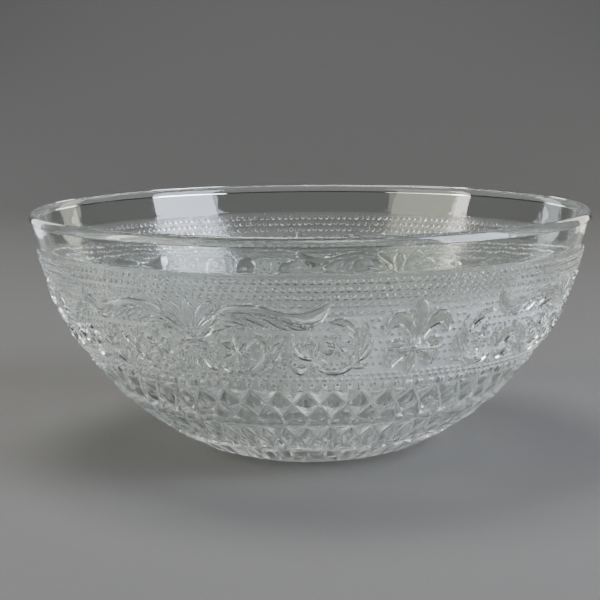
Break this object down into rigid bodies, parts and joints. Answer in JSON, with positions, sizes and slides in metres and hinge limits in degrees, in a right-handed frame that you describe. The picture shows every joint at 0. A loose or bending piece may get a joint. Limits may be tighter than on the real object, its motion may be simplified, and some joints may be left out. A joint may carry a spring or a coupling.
{
  "type": "punch bowl",
  "caption": "Round one-piece clear pressed glass punch bowl with a plain rim, a relief scroll frieze and a diamond-cut lower wall.",
  "frame": {"origin": "centre of the foot's underside, on the surface that the bowl stands on", "axes": "+Z is the axis of revolution, up through the mouth; +X and +Y are any two directions across it"},
  "size_m": [0.3, 0.3, 0.128],
  "materials": {
    "clear_glass": "gloss"
  },
  "bodies": {
    "root": {"bowl": "clear_glass"}
  },
  "joints": []
}
